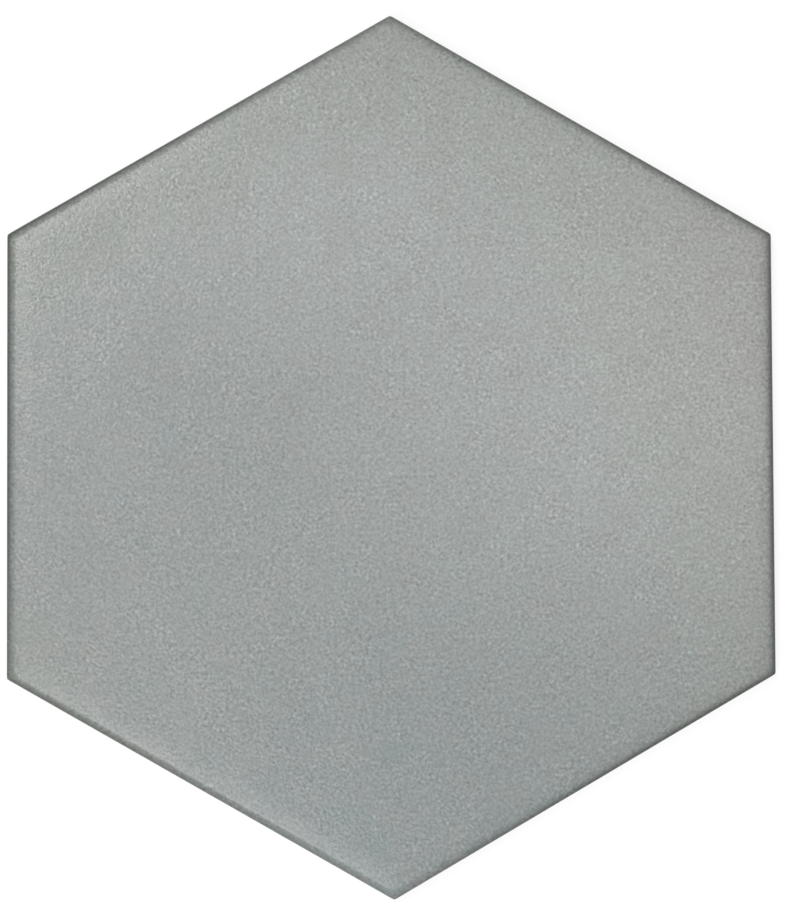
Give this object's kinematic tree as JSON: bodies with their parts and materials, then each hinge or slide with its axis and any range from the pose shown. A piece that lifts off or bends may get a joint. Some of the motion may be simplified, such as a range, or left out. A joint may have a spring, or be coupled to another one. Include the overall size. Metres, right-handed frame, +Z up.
{
  "type": "hexagon floor tile",
  "caption": "Regular hexagon floor tile in matt grey stoneware, with a softly rolled rim, drafted sides and a honeycomb key pressed into its back.",
  "frame": {"origin": "middle of the back, on the plane that rests on the bed", "axes": "+Z up out of the face; two corners point along +Y and -Y, and two sides face +X and -X"},
  "size_m": [0.2, 0.2308, 0.009],
  "materials": {
    "matt_stoneware": "matt fine-grained glaze"
  },
  "bodies": {
    "root": {"hexagon_tile": "matt_stoneware"}
  },
  "joints": []
}
